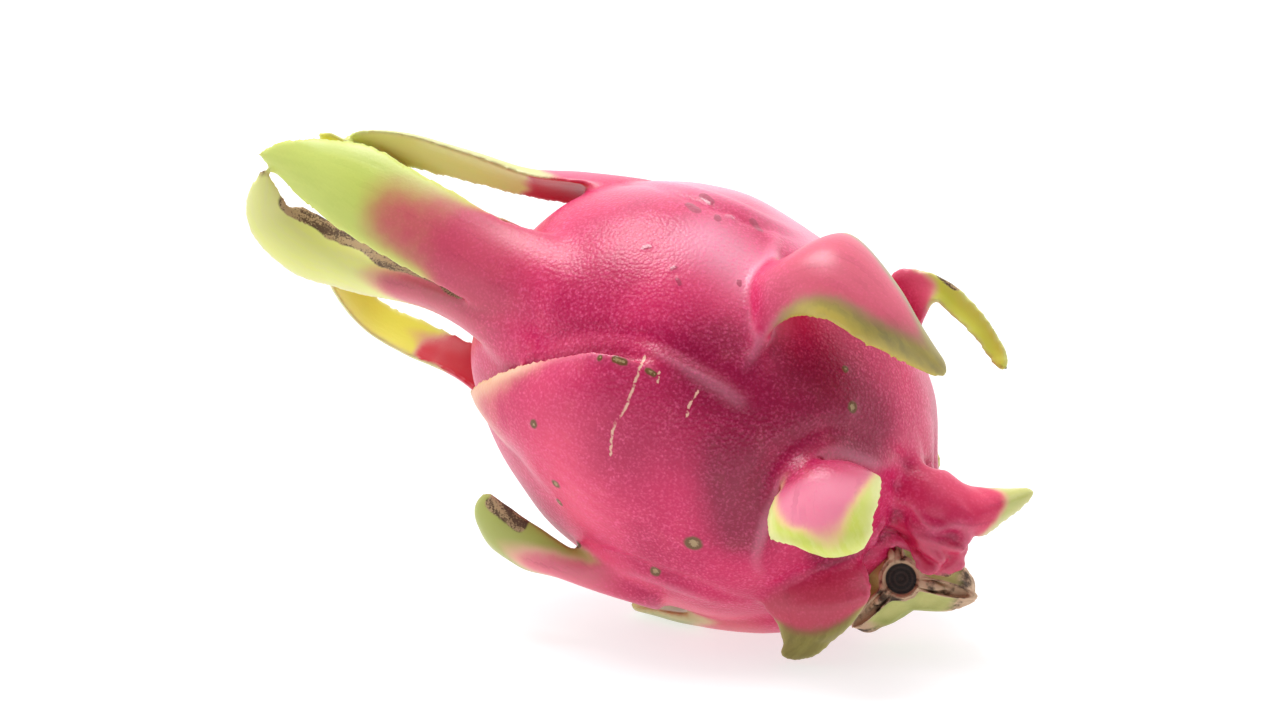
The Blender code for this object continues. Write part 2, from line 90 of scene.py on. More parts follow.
# A route's points are percent of the body's length from the stem end, degrees around the axis from its
# top side towards -Y, and percent of the body's radius out from the axis; margins are pairs of such
# points. width, thick, cup, bulge and wave are in millimetres, roll in degrees. The rest are shares of the
# blade: green is where it turns from root to leaf colour, rimGreen how much earlier it turns at the two
# margins, red how far the red inner face reaches, melt how far the root flows into the body, dryFrom where
# the tip withers, and dryRim (side, from, to, width) where a margin does. own says how much of its own
# colour the blade has, and root, blend, leaf, rim and the inner face's hue are its colours; the inner
# face's yellow is partly painted glow, standing for light shining through the thin blade.
blades = dict(
    crownFront=dict(
        route=[(74, 66, 82), (88, 67, 69), (100, 71, 60), (116, 73, 51), (132, 76, 40), (144, 88, 28),
               (155, 120, 19)],
        width=[34, 25, 20, 20.5, 20, 15, 3], thick=[7, 6, 5, 3.5, 3, 2.5, 1.5], cup=[3, 3, 2, 2, 2, 2, 0],
        green=(0.40, 0.74), rimGreen=0.07, wave=0.08, dryFrom=0.985, root=(0.58, 0.075, 0.13),
        blend=(0.52, 0.25, 0.11), leaf=(0.50, 0.58, 0.11), rim=(0.64, 0.70, 0.16)),
    crownHook=dict(
        route=[(73, 92, 82), (86, 92, 69), (97, 98, 56), (108, 112, 44), (120, 135, 40), (129.5, 152, 40),
               (138, 160, 43), (147, 155, 39), (152, 120, 24)],
        width=[26, 18, 11, 9, 10, 14, 17, 14, 3], thick=[7, 6, 5, 4, 3, 3, 3, 2.5, 1.5],
        cup=[2, 2, 2, 3, 3, 3, 3, 2, 0], roll=[0, 0, 0, 10, 40, 60, 60, 60, 60],
        green=(0.42, 0.60), wave=0.08, root=(0.58, 0.13, 0.16), leaf=(0.74, 0.77, 0.20),
        dryRim=(-1, 0.10, 0.97, 0.5)),
    crownTop=dict(
        route=[(72, 340, 84), (84, 336, 76), (96, 332, 64), (107, 322, 53), (120, 316, 46), (133, 310, 37),
               (144, 300, 25)],
        width=[20, 23, 20, 13, 13, 12, 3], thick=[7, 5, 4, 3.5, 3, 2.5, 1.5], cup=[3, 3, 3, 2, 2, 2, 0],
        green=(0.45, 0.58), wave=0.12, red=0.52, dryFrom=2, leaf=(0.60, 0.70, 0.18),
        # This blade's inner face is made lighter still: painted light, lifting the shade that falls on it.
        insideAndGlow=(0.82, 0.92, 0.30)),
    crownBack=dict(
        route=[(81, 268, 75), (95, 267, 58), (109, 266, 47), (121, 268, 38), (135, 275, 29), (142, 286, 22),
               (149, 293, 18)],
        width=[24, 18, 14, 12, 11, 8, 3], thick=[7, 5, 4, 3.5, 3, 2.5, 1.5], cup=[3, 3, 2, 2, 2, 2, 0],
        green=(0.35, 0.6), wave=0.1, dryFrom=2, insideAndGlow=(0.90, 0.86, 0.02)),
    crownUnder=dict(
        route=[(74, 203, 87), (87, 205, 73), (98, 206, 71), (111, 207, 78), (122, 203, 75), (132, 198, 58),
               (139, 189, 31)],
        width=[28, 20, 13, 13, 12, 10, 3], thick=[7, 5, 4, 3.5, 3, 2.5, 1.5], cup=[3, 3, 2, 2, 2, 2, 0],
        green=(0.42, 0.58), wave=0.1, red=0.46, dryFrom=2, root=(0.80, 0.28, 0.32), leaf=(0.66, 0.72, 0.30),
        insideAndGlow=(0.84, 0.82, 0.06)),
    crownLow=dict(
        route=[(73, 238, 89), (87, 240, 73), (102, 242, 67), (116, 242, 58), (126, 238, 40)],
        width=[28, 20, 15, 12, 4], thick=[7, 5, 4, 3, 1.5], cup=[3, 3, 2, 2, 0],
        green=(0.4, 0.7), wave=0.1),
    cheek=dict(
        margins=[((30, 70, 88), (44, 135, 89)), ((42, 67, 97), (51, 139, 95)),
                 ((55, 69, 102), (57, 142, 97)), ((66, 73, 104), (66, 140, 90)),
                 ((76, 83, 94), (74, 137, 82)), ((85, 101, 80), (82, 136, 75)),
                 ((91, 128, 69), (90, 135, 67))],
        bulge=[6, 8.5, 9, 8, 6.5, 3.5, 0], thick=[3, 4, 4, 3.5, 3, 2.5, 1.5],
        green=(0.70, 1.30), wave=0.03, own=0.12, melt=0.62, dryFrom=1,
        leaf=(0.80, 0.34, 0.24), rim=(0.90, 0.55, 0.36)),
    backUpper=dict(
        route=[(39, 302, 89), (51, 302, 100), (65, 301, 104), (80, 298, 104), (90, 294, 96)],
        width=[34, 34, 26, 18, 5], thick=[6, 6, 5, 4, 2], cup=[4, 4, 4, 3, 0], green=(0.55, 0.9), wave=0.15),
    backMiddle=dict(
        route=[(27, 262, 84), (41, 262, 99), (55, 261, 109), (67, 260, 116), (78, 258, 111)],
        width=[34, 32, 25, 17, 5], thick=[6, 6, 5, 4, 2], cup=[4, 4, 4, 3, 0], green=(0.5, 0.85), wave=0.15),
    keel=dict(
        margins=[((39, 138, 90), (36, 159, 97)), ((48, 142, 97), (47, 158, 105)),
                 ((56, 145, 101), (56, 154, 114)), ((65, 145, 102), (64, 158, 120)),
                 ((72, 145, 101), (72, 158, 119)), ((79, 148, 100), (78, 156, 110))],
        bulge=[2, 2, 2, 2, 2, 1], thick=[7, 6, 5, 5, 4.5, 3],
        green=(0.45, 0.85), rimGreen=0.34, wave=0.05, root=(0.80, 0.20, 0.26), blend=(0.80, 0.44, 0.32),
        leaf=(0.40, 0.43, 0.11), rim=(0.42, 0.46, 0.10), dryRim=(-1, 0.62, 0.96, 0.6)),
    resting=dict(
        route=[(11, 172, 67), (19, 176, 84), (31, 180, 102), (43, 182, 116)],
        width=[26, 22, 17, 7], thick=[6, 5, 4, 2], cup=[3, 3, 2, 0], green=(0.45, 0.8), wave=0.1,
        root=(0.75, 0.14, 0.18), leaf=(0.28, 0.30, 0.07)),
    propFront=dict(
        margins=[((24, 132, 60), (9, 104, 40)), ((20, 133, 80), (3, 106, 62)), ((15, 134, 84), (2, 114, 67)),
                 ((12, 138, 89), (3, 128, 75)), ((11, 141, 95), (6, 139, 91))],
        bulge=[2, 2, 2, 1.5, 0], thick=[6, 5, 4.5, 3.5, 2], green=(0.50, 0.78), wave=0.06,
        root=(0.56, 0.06, 0.10), blend=(0.30, 0.11, 0.05), leaf=(0.17, 0.13, 0.015), rim=(0.40, 0.36, 0.08)),
    propBack=dict(
        route=[(9, 205, 62), (18, 206, 84), (28, 207, 102), (39, 208, 113)],
        width=[28, 26, 20, 7], thick=[6, 5, 4, 2], cup=[3, 3, 2, 0], green=(0.5, 0.8), wave=0.1),
    hood=dict(
        margins=[((27, 75, 90), (16, 63, 86)), ((27, 88, 98), (12, 65, 95)), ((24, 94, 106), (10, 71, 105)),
                 ((20, 92, 111), (8, 79, 108)), ((12, 90, 107), (8, 85, 104))],
        bulge=[2, 3, 3, 2, 0], thick=[6, 5, 3.5, 2.5, 1.5],
        green=(0.56, 0.98), rimGreen=0.62, wave=0.08, melt=0.2, dryFrom=0.90,
        root=(0.90, 0.28, 0.40), blend=(0.90, 0.60, 0.30), leaf=(0.62, 0.70, 0.07), rim=(0.84, 0.84, 0.40)),
    flap=dict(
        margins=[((45, 54, 94), (54, 21, 94)), ((43, 46, 115), (48, 26, 112)), ((37, 45, 131), (42, 18, 128)),
                 ((28, 45, 133), (29, 25, 127)), ((20, 42, 125), (19, 31, 122)), ((12, 38, 118), (12, 34, 119))],
        bulge=[1, 4, 5, 4, 2, 0], thick=[7, 5, 4, 3.5, 3, 2], green=(0.60, 1.0), rimGreen=0.60, wave=0.1,
        root=(0.68, 0.12, 0.18), blend=(0.44, 0.19, 0.14), leaf=(0.22, 0.19, 0.08), rim=(0.60, 0.46, 0.09),
        dryFrom=0.97),
    hook=dict(
        margins=[((33, 343, 90), (21, 347, 80)), ((32, 348, 107), (22, 352, 94)),
                 ((26, 351, 115), (22, 353, 104)), ((20, 351, 116), (18, 352, 102)),
                 ((12, 353, 111), (12, 354, 99)), ((6, 355, 104), (7, 355, 94)), ((3, 357, 97), (3, 357, 92))],
        bulge=[1, 1.5, 2, 2, 2, 1.5, 0], thick=[6, 5, 4, 3.5, 3, 2.5, 2], green=(0.28, 0.46), wave=0.12,
        root=(0.90, 0.20, 0.30), leaf=(0.52, 0.58, 0.06), dryRim=(-1, 0.34, 0.55, 0.3)),
    backHook=dict(
        route=[(19, 285, 76), (19, 280, 96), (12, 276, 107), (4, 272, 98)],
        width=[26, 22, 15, 4], thick=[6, 5, 4, 2], cup=[-2, -3, -3, 0], green=(0.5, 0.85), wave=0.1),
    backSpur=dict(
        route=[(11, 232, 58), (5, 232, 73), (3, 232, 87), (3, 232, 100)],
        width=[24, 20, 13, 4], thick=[6, 5, 4, 2], cup=[2, 2, 2, 0], green=(0.5, 0.85), wave=0.1),
    spur=dict(
        margins=[((3, 80, 28), (12, 30, 46)), ((-1, 74, 44), (7, 35, 52)), ((-7, 65, 44), (-2, 28, 47)),
                 ((-11, 46, 43), (-6, 22, 47)), ((-13, 29, 45), (-10, 15, 50)), ((-15, 14, 54), (-14, 10, 56))],
        bulge=[2, 2, 2, 2, 1.5, 0], thick=[7, 7, 6, 5, 3.5, 2], green=(0.62, 0.82), wave=0.05, melt=0.3,
        root=(0.72, 0.035, 0.11), leaf=(0.52, 0.54, 0.14)),
    fold=dict(
        route=[(7, 57, 31), (1, 62, 36), (-4, 73, 39), (-8, 86, 33)],
        width=[17, 17, 13, 7], thick=[9, 9, 8, 5], cup=[0, 0, 0, 0], green=(2, 3), wave=0.0,
        root=(0.50, 0.012, 0.07)),
)
usual = dict(  # what a blade has when its own entry doesn't say
    dryFrom=0.93, dryRim=(1, 2, 3, 0.5), rimGreen=0.12, red=0.0, melt=0.0, own=1.0,
    root=(0.74, 0.10, 0.20), blend=(0.72, 0.38, 0.24), leaf=(0.52, 0.58, 0.14), rim=(0.70, 0.66, 0.36),
    insideAndGlow=(0.62, 0.60, 0.06))

# Marks on the body, and patches of painted light and shade: the half width in millimetres, and a way of
# (percent along, degrees around).
marks = dict(
    scratch=[(0.40, [(62, 73), (61, 79), (60, 86), (60, 93), (58, 100)]), (0.28, [(50, 72), (50, 76), (49, 80)]),
             (0.25, [(58, 74), (57, 77)])],
    cork=[(1.0, [(74, 108)]), (1.3, [(65, 122)]), (1.0, [(63, 130)]), (1.9, [(36, 112)]), (1.2, [(40, 132)]),
          (1.3, [(24, 49)]), (0.7, [(69, 80)]), (0.8, [(29, 41)]), (1.2, [(56, 147)]),
          (0.7, [(66.5, 78), (64.5, 77.2)]), (0.6, [(60, 75.5), (58.5, 75.2)])],
    drop=[(1.2, [(64, 18)])],
    wet=[(1.1, [(72, 20), (70, 22)]), (0.7, [(74, 44), (73.3, 43)]), (0.6, [(65, 49), (64, 50)]),
         (0.6, [(55, 39), (54.5, 40)]), (1.1, [(71, 12), (69, 14)]), (1.1, [(60, 14), (58, 16)]),
         (0.6, [(67, 47), (66.5, 46)]), (0.8, [(66, 21), (65.5, 22.5)])],
    # Painted light, not a mark of the skin: paler pink on the lower cheek and lower flank, where light falls.
    paintedLight=[(9, [(68, 108), (58, 124)]), (7, [(52, 146), (36, 150), (24, 158)])],
    # Painted shade, not a mark of the skin: darker pink where shade falls on the body.
    shadeAndDeepPink=[(13, [(50, 64), (40, 66), (34, 60)]), (10, [(38, 80), (30, 98)]), (11, [(30, 50), (20, 50)]),
          (5, [(14, 100), (9, 110)])],
    # Painted highlights, not marks of the skin: paler patches on the upper body and at the flap's root.
    paintedSheen=[(8, [(64, 32), (54, 33)]), (11, [(80, 0), (62, 350), (48, 2)]), (4, [(50, 36), (46, 44)])],
)

bladeMesh = dict(sections=70, sides=44)
restingBlade = "resting"  # the blade that the fruit lies on


def placeRound(along, around, out):  # the fruit's own frame: +Z stem end to crown end, +X its top side
    return np.stack([out * np.cos(around), -out * np.sin(around), along], -1)


def bodyRadius(along):
    outline = smoothThrough(bodyOutline, 300)
    return np.interp(along / fruit["length"], outline[:, 0], outline[:, 1]) * fruit["radius"]


def bodyRise(along):  # the crown half of the body sits a little above the axis
    return fruit["rise"] * ease(0.35, 0.80, along / fruit["length"])


def bodyGrid():
    outline = smoothThrough(bodyOutline, 120)[1:-1]
    turns = np.linspace(0, math.tau, 160, endpoint=False)
    along = outline[:, :1] * fruit["length"] + 0 * turns
    out = np.maximum(outline[:, 1:], 0.01) * fruit["radius"] + 0 * turns
    grid = placeRound(along, turns + 0 * along, out)
    grid[..., 0] += bodyRise(along)
    return grid


def bladeFrames(blade, count):  # middle, half width vector and outward face of each section
    if "margins" in blade:
        rows = np.array(blade["margins"], float)
        sides = []
        for rim in (rows[:, 0], rows[:, 1]):
            turn = np.unwrap(np.radians(rim[:, 1]))
            sides.append(smoothThrough(placeRound(rim[:, 0] / 100 * fruit["length"], turn,
                                                  rim[:, 2] / 100 * fruit["radius"]), count))
        middle, half = (sides[0] + sides[1]) / 2, (sides[1] - sides[0]) / 2
        ahead = unit(np.gradient(middle, axis=0))
        return middle, half, unit(np.cross(ahead, half)), smoothThrough(blade["bulge"], count) * mm
    route = np.array(blade["route"], float)
    turn = np.unwrap(np.radians(route[:, 1]))
    middle = smoothThrough(placeRound(route[:, 0] / 100 * fruit["length"], turn,
                                      route[:, 2] / 100 * fruit["radius"]), count)
    turn = smoothThrough(turn, count)
    width = np.maximum(smoothThrough(blade["width"], count), 1) * mm / 2
    roll = np.radians(smoothThrough(blade.get("roll", [0] * len(route)), count))
    ahead = unit(np.gradient(middle, axis=0))
    way = np.concatenate([-np.sin(turn), -np.cos(turn), 0 * turn], 1)
    side = unit(way - ahead * (way * ahead).sum(1, keepdims=True))
    face = np.cross(ahead, side)
    side, face = side * np.cos(roll) + face * np.sin(roll), face * np.cos(roll) - side * np.sin(roll)
    cup = smoothThrough(blade["cup"], count) * mm
    return middle - face * cup, side * width, face, cup


def bladeGrid(blade, seed):
    count, sides = bladeMesh["sections"], bladeMesh["sides"]
    middle, half, face, bulge = bladeFrames(blade, count)
    depth = np.maximum(smoothThrough(blade["thick"], count), 1) * mm / 2
    share = np.linspace(0, 1, count)[:, None]
    angle = np.linspace(0, math.tau, sides, endpoint=False)[None, :]
    across, rise = np.cos(angle), np.sign(np.sin(angle)) * np.abs(np.sin(angle)) ** 0.65
    phase = np.random.default_rng(seed).uniform(0, math.tau, 6)
    lip = ease(0.2, 0.7, share) * blade["wave"] * 2 * mm
    edge = lip * (np.sin(share * 9 + phase[0] + across) + 0.5 * np.sin(share * 21 + phase[1] - across))
    nicks = np.sin(share * 13 + phase[2] + across) + np.sin(share * 29 + phase[3])
    fray = 1 + 0.02 * ease(0.3, 0.8, share) * nicks
    lift = depth * rise * (1 - 0.35 * across ** 2) + bulge * (1 - across ** 2) + edge * across ** 2
    blunt = np.sqrt(1 - 0.96 * np.clip((share - 0.93) / 0.07, 0, 1) ** 2)  # rounds the tip
    points = middle[:, None] + half[:, None] * (across * fray * blunt)[..., None]
    points = points + face[:, None] * (lift * blunt)[..., None]
    length = np.linalg.norm(np.diff(middle, axis=0), axis=1).sum()
    wide = np.linalg.norm(half, axis=1)[:, None]
    facts = dict(share=share + 0 * across, across=across + 0 * share, rise=rise + 0 * share,
                 flowX=share * length + 0 * across, flowY=across * wide)
    return points, facts


def closedMesh(name, grids):
    points, faces, base = [], [], 0
    for grid in grids:
        rows, cols = grid.shape[:2]
        points.append(grid.reshape(-1, 3))
        points.append(np.array([grid[0].mean(0), grid[-1].mean(0)]))
        for i in range(rows - 1):
            for j in range(cols):
                k = (j + 1) % cols
                a, b = base + i * cols, base + (i + 1) * cols
                faces.append((a + j, a + k, b + k, b + j))
        first, last = base + rows * cols, base + rows * cols + 1
        end = base + (rows - 1) * cols
        for j in range(cols):
            k = (j + 1) % cols
            faces.append((base + k, base + j, first))
            faces.append((end + j, end + k, last))
        base += rows * cols + 2
    mesh = bpy.data.meshes.new(name)
    mesh.from_pydata(np.vstack(points).tolist(), [], faces)
    return mesh


def facingOut(grid):
    away = grid - grid.reshape(-1, 3).mean(0)
    a, b = away[:-1], away[1:]
    near, far = np.roll(a, -1, 1), np.roll(b, -1, 1)
    volume = (np.cross(near, far) * a).sum() + (np.cross(far, b) * a).sum()
    return grid if volume > 0 else grid[:, ::-1]


def readPoints(mesh):
    points = np.empty(len(mesh.vertices) * 3)
    mesh.vertices.foreach_get("co", points)
    return points.reshape(-1, 3)


def averager(mesh):  # gives a function that replaces each point's value with its neighbours' average
    edges = np.empty(len(mesh.edges) * 2, int)
    mesh.edges.foreach_get("vertices", edges)
    edges = edges.reshape(-1, 2)
    count = len(mesh.vertices)
    ends = np.concatenate([edges[:, 0], edges[:, 1]])
    others = np.concatenate([edges[:, 1], edges[:, 0]])
    links = np.maximum(np.bincount(ends, minlength=count), 1)

    def average(values):
        columns = values.reshape(count, -1).T
        means = [np.bincount(ends, weights=column[others], minlength=count) / links for column in columns]
        return np.stack(means, -1).reshape(values.shape)
    return average


def soften(points, average, steps, share):
    for _ in range(steps):
        points = points + share * (average(points) - points)
    return points


def evenOut(points, average, steps):  # takes the stair steps out and keeps the volume
    for _ in range(steps):
        points = points + 0.55 * (average(points) - points)
        points = points - 0.52 * (average(points) - points)
    return points


def normalsOf(mesh, points):
    mesh.vertices.foreach_set("co", points.ravel())
    mesh.update()
    normals = np.empty(len(points) * 3)
    mesh.vertices.foreach_get("normal", normals)
    return normals.reshape(-1, 3)


def voxelSkin(name, grids, grain):
    rough = bpy.data.objects.new(name + "Rough", closedMesh(name + "Rough", grids))
    bpy.context.scene.collection.objects.link(rough)
    step = rough.modifiers.new("skin", "REMESH")
    step.mode = "VOXEL"
    step.voxel_size = grain
    step.adaptivity = 0
    mesh = bpy.data.meshes.new_from_object(rough.evaluated_get(bpy.context.evaluated_depsgraph_get()))
    mesh.name = name
    bpy.data.objects.remove(rough, do_unlink=True)
    return mesh


def addAttribute(mesh, name, values):
    kind = "FLOAT" if values.ndim == 1 else "FLOAT_VECTOR"
    field = "value" if values.ndim == 1 else "vector"
    mesh.attributes.new(name, kind, "POINT").data.foreach_set(field, values.astype(np.float32).ravel())


def restPose():
    turned = np.array(Matrix.Rotation(fruit["lean"] - math.pi / 2, 3, "Y"))
    grid, _ = bladeGrid(blades[restingBlade], 0)
    lowest = (grid @ turned.T)[..., 2].min()
    place = np.array([fruit["balance"] * fruit["length"] * math.cos(fruit["lean"]), 0, -fruit["flat"] - lowest])
    return turned, place


# Raised and sunken lines on the skin: a way of (percent of the length, degrees around), and height and
# half width in millimetres.
lines = [
    dict(way=[(20, 118), (24, 111), (26, 99), (27, 89), (27, 80), (25, 72), (23, 65), (18, 61), (15, 59),
              (11, 59), (8, 64)], height=1.3, reach=2.2),  # arch that the hood grows from
    dict(way=[(22, 104), (24, 97), (24, 88), (24, 80), (22, 73), (20, 67), (16, 64), (12, 64)],
         height=-0.5, reach=0.9),
    dict(way=[(28, 111), (30, 99), (31, 89), (31, 79), (29, 69), (26, 61), (21, 55), (15, 51)],
         height=-0.7, reach=2.6),
    dict(way=[(55, 14), (53, 21), (51, 30), (49, 38), (47, 46), (45, 53), (45, 60)], height=1.5, reach=1.7),
    dict(way=[(51, 21), (48, 30), (46, 38), (44, 46), (42, 54)], height=-0.9, reach=1.5),  # flap's root
    dict(way=[(63, 71), (58, 70), (53, 69), (47, 68), (43, 68), (40, 67)], height=0.9, reach=1.8),
    dict(way=[(83, 93), (79, 84), (74, 76), (68, 71), (62, 67), (55, 66), (48, 65)], height=-0.6, reach=2.2),
    dict(way=[(58, 148), (51, 138), (46, 133), (40, 131), (31, 129), (22, 133)], height=-0.8, reach=1.6),
    dict(way=[(54, 151), (47, 143), (42, 138), (34, 135), (26, 137)], height=0.6, reach=1.8),
    dict(way=[(88, 352), (86, 358), (78, 12), (70, 16), (60, 16), (52, 9)], height=-0.6, reach=1.2),
    dict(way=[(86, 350), (79, 4), (70, 9), (60, 9), (52, 3)], height=0.7, reach=2.2),
    dict(way=[(7, 112), (6, 100), (5, 88), (4, 75)], height=-1.2, reach=1.8),
    dict(way=[(14, 60), (9, 58), (4, 62)], height=-0.9, reach=1.6),
    dict(way=[(18, 50), (10, 45), (4, 40)], height=-0.7, reach=1.8),
]


def onSurface(way, count=60):
    way = np.array(way, float)
    turn = smoothThrough(np.unwrap(np.radians(way[:, 1])), count)[:, 0]
    along = smoothThrough(way[:, 0], count)[:, 0] / 100 * fruit["length"]
    places = placeRound(along, turn, bodyRadius(along))
    places[:, 0] += bodyRise(along)
    return places


def nearestOf(samples, points):
    tree = KDTree(len(samples))
    for i, sample in enumerate(samples):
        tree.insert(sample, i)
    tree.balance()
    found = [tree.find(point) for point in points]
    return np.array([hit[1] for hit in found]), np.array([hit[2] for hit in found])


skinWork = dict(                # heights and reaches in millimetres
    firstSeed=40,
    evenRounds=11,              # takes out the steps that the mesh's grain leaves
    rootReach=3.2, rootRounds=16,
    meltRounds=36,
    waves=[(0.45, 26, 3), (0.12, 9, 4)],    # height, size, seed
    drop=0.7, wet=0.2, cork=0.25, scratch=0.15,
    creases=6, creaseHeight=0.8, creaseReach=16,    # puckers round the stem end
    crumple=1.4, folds=[(1.7, 4.2, 6), (0.6, 2.4, 7)],    # the crumpled lump: share, size, seed
)


def gatherBlades(names):  # the blades' grids, all their points, and what is known at each point
    grids, samples, facts = [], [], []
    for number, name in enumerate(names):
        grid, fact = bladeGrid(blades[name], skinWork["firstSeed"] + number)
        grids.append(facingOut(grid))
        samples.append(grid.reshape(-1, 3))
        fact["blade"] = np.full(grid.shape[:2], number)
        facts.append({key: value.ravel() for key, value in fact.items()})
    return grids, np.vstack(samples), {key: np.concatenate([fact[key] for fact in facts]) for key in facts[0]}


def smoothRoots(points, average, fact, proud, gap, melt):  # blends the blades' roots into the body
    share = fact["share"]
    rooted = np.exp(-(proud / (skinWork["rootReach"] * mm)) ** 2)
    rooted = rooted * (1 - ease(0.35, 0.8, share)) * (1 - ease(3 * mm, 7 * mm, gap))
    rooted = average(average(rooted))
    points = soften(points, average, skinWork["rootRounds"], 0.8 * rooted[:, None])
    melting = (melt > 0) * (1 - ease(0.6, 1, share / np.maximum(melt, 0.01))) * (1 - ease(3 * mm, 8 * mm, gap))
    return soften(points, average, skinWork["meltRounds"], 0.9 * average(average(melting))[:, None])


def addLines(points, relief):
    paintedHighlight = np.zeros(len(points))
    for line in lines:
        way = onSurface(line["way"])
        nearLine, off = nearestOf(way, points)
        fade = np.sin(math.pi * np.clip(nearLine / (len(way) - 1), 0.02, 0.98)) ** 0.5
        swell = np.exp(-(off / (line["reach"] * mm)) ** 2) * fade
        relief = relief + line["height"] * mm * swell
        # Raised lines get a painted highlight along them.
        paintedHighlight += np.sign(line["height"]) * swell
    return relief, paintedHighlight


def markSpots(points, around, covered):  # how strongly each kind of mark shows at each point
    laid = placeRound(points[:, 2], around, bodyRadius(points[:, 2]))
    laid[:, 0] += bodyRise(points[:, 2])
    spots = {}
    for kind, places in marks.items():
        spots[kind] = np.zeros(len(points))
        for reach, way in places:
            _, off = nearestOf(onSurface(way if len(way) > 1 else way * 2), laid)
            spots[kind] = np.maximum(spots[kind], np.exp(-(off / (reach * mm)) ** 2))
        spots[kind] = spots[kind] * (1 - covered)
    return spots


def crumpledLump(points, average):  # where the crumpled lump is, and its pleats
    samples = bladeGrid(blades["fold"], 0)[0].reshape(-1, 3)
    lump = soften(1 - ease(1 * mm, 5 * mm, nearestOf(samples, points)[1]), average, 6, 0.7)
    pleats = 1
    for share, size, seed in skinWork["folds"]:
        pleats = pleats - np.abs(ripple(points * (1, 1, 0.35), size * mm, seed)) * share
    return lump, pleats


def bladeMasks(points, fact, perBlade, onBlade):  # green, red and withered parts of the blades
    share, side, edge = fact["share"], fact["across"], np.abs(fact["across"])
    turnsGreen = share + perBlade("rimGreen") * edge ** 2 + 0.05 * ripple(points, 12 * mm, 8)
    begins, whole = perBlade("green").T
    green = ease(begins, whole, turnsGreen) * onBlade
    dryTip = ease(0, 0.08, share - perBlade("dryFrom"))
    which, start, end, wide = perBlade("dryRim").T
    dryRim = ease(1 - wide, 1 - 0.4 * wide, side * which + 0.15 * ripple(points, 6 * mm, 10))
    dryRim = dryRim * ease(0, 0.08, share - start) * (1 - ease(-0.08, 0, share - end))
    red = (fact["rise"] < 0.1) * ease(-0.01, 0.03, share) * (perBlade("red") > 0)
    red = red * (1 - ease(-0.04, 0, share + 0.03 * ripple(points, 5 * mm, 9) - perBlade("red")))
    return dict(green=green * (1 - red), edge=ease(0.78, 0.95, edge) * onBlade * ease(0.15, 0.35, share),
                inner=(fact["rise"] < 0) * onBlade, dry=np.maximum(dryTip * 0.6, dryRim) * onBlade,
                red=red * onBlade)


def makeSkin():
    names = list(blades)
    grids, samples, facts = gatherBlades(names)
    mesh = voxelSkin("peel", [facingOut(bodyGrid())] + grids, fruit["grain"])
    points = readPoints(mesh)
    average = averager(mesh)
    print("skin", len(points), "points,", len(mesh.polygons), "faces")

    nearest, gap = nearestOf(samples, points)
    fact = {key: value[nearest] for key, value in facts.items()}
    proud = np.hypot(points[:, 0] - bodyRise(points[:, 2]), points[:, 1]) - bodyRadius(points[:, 2])

    def perBlade(key):
        return np.array([blades[name].get(key, usual.get(key)) for name in names])[fact["blade"].astype(int)]

    clear = np.maximum(ease(0.2 * mm, 1.5 * mm, proud), 1 - (points[:, 2] > 0))
    onBlade = average(average((1 - ease(0.7 * mm, 2.0 * mm, gap)) * clear))
    points = evenOut(points, average, skinWork["evenRounds"])
    points = smoothRoots(points, average, fact, proud, gap, perBlade("melt"))
    print("roots blended")

    relief = sum(height * mm * ripple(points, size * mm, seed) for height, size, seed in skinWork["waves"])
    relief, paintedHighlight = addLines(points, relief * (1 - 0.7 * onBlade))
    around = np.arctan2(-points[:, 1], points[:, 0] - bodyRise(points[:, 2]))
    spots = markSpots(points, around, onBlade * perBlade("own"))
    relief += mm * (skinWork["drop"] * spots["drop"] + skinWork["wet"] * spots["wet"])
    relief += skinWork["cork"] * mm * np.sin(math.pi * spots["cork"]) - skinWork["scratch"] * mm * spots["scratch"]
    stemEnd = 1 - ease(2 * mm, skinWork["creaseReach"] * mm, points[:, 2])
    creased = np.abs(np.sin(around * skinWork["creases"] + 2.2 * ripple(points, 16 * mm, 5))) ** 0.7 - 0.6
    relief += skinWork["creaseHeight"] * mm * stemEnd * creased * (1 - 0.5 * onBlade)
    lump, pleats = crumpledLump(points, average)
    relief += skinWork["crumple"] * mm * lump * pleats
    points = points + normalsOf(mesh, points) * relief[:, None]
    points = evenOut(points, average, 1)
    print("creases and marks made")

    # How hollow each point is; the peel paints shade into the hollows and highlight onto the bulges from it.
    hollow = ((soften(points, average, 14, 0.9) - points) * normalsOf(mesh, points)).sum(1)
    hollow = soften(hollow, average, 2, 0.7)
    turned, place = restPose()
    world = points @ turned.T + place
    world[:, 2] = np.maximum(world[:, 2], 0)
    mesh.vertices.foreach_set("co", world.ravel())
    mesh.update()
    mesh.shade_smooth()

    masks = dict(bladeMasks(points, fact, perBlade, onBlade), paintedHighlight=paintedHighlight, hollow=hollow / mm, lump=lump)
    for name, values in masks.items():
        addAttribute(mesh, name, average(average(values)))
    for name, values in spots.items():
        addAttribute(mesh, name, values)
    own = perBlade("own") * onBlade * ease(0.08, 0.36, fact["share"])
    addAttribute(mesh, "own", soften(own, average, 6, 0.8))
    for name in ("root", "blend", "leaf", "rim", "insideAndGlow"):
        addAttribute(mesh, name + "Hue", average(average(perBlade(name))))
    addAttribute(mesh, "flow", np.stack([fact["flowX"], fact["flowY"], 0 * gap], -1))
    piece = bpy.data.objects.new("peelAndScales", mesh)
    bpy.context.scene.collection.objects.link(piece)
    return piece


